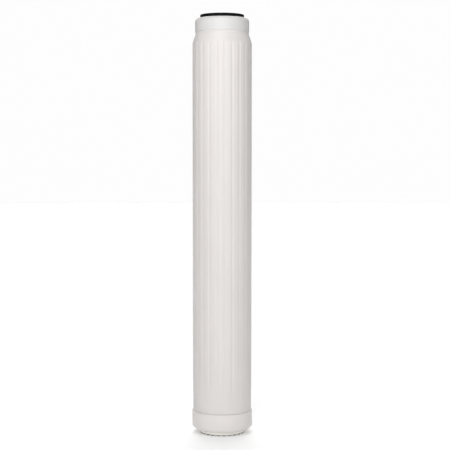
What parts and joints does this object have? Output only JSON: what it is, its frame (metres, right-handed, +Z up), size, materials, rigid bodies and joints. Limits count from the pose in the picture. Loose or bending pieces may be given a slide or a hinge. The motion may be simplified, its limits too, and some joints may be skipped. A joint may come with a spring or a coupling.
{
  "type": "inline descaler filter cartridge",
  "caption": "Tall white drop-in water filter cartridge: fluted tube, flared shoulder, collar with a black flat gasket, chamfered bottom cap on a gapped foot ring.",
  "frame": {"origin": "centre of the foot ring, on the surface that the cartridge stands on", "axes": "+Z up along the cartridge from the inlet cap to the outlet gasket; -Y towards the front; +X to the right seen from the front"},
  "size_m": [0.0732, 0.0732, 0.508],
  "materials": {
    "casing_plastic": "white moulded polypropylene, satin",
    "collar_plastic": "white moulded polypropylene, satin",
    "foot_plastic": "white moulded polypropylene, satin, slightly creamy at the foot ring",
    "gasket_rubber": "matte black moulded rubber",
    "felt": "white pressed polypropylene felt",
    "foam": "open-cell foam, light grey",
    "beads": "amber ceramic-like anti-scale beads, packed"
  },
  "bodies": {
    "root": {"casing": "casing_plastic", "outlet_cap": "collar_plastic", "inlet_cap": "foot_plastic", "top_gasket": "gasket_rubber", "inlet_pad": "felt", "post_filter": "felt", "expansion_pad": "foam", "media_bed": "beads"}
  },
  "joints": []
}
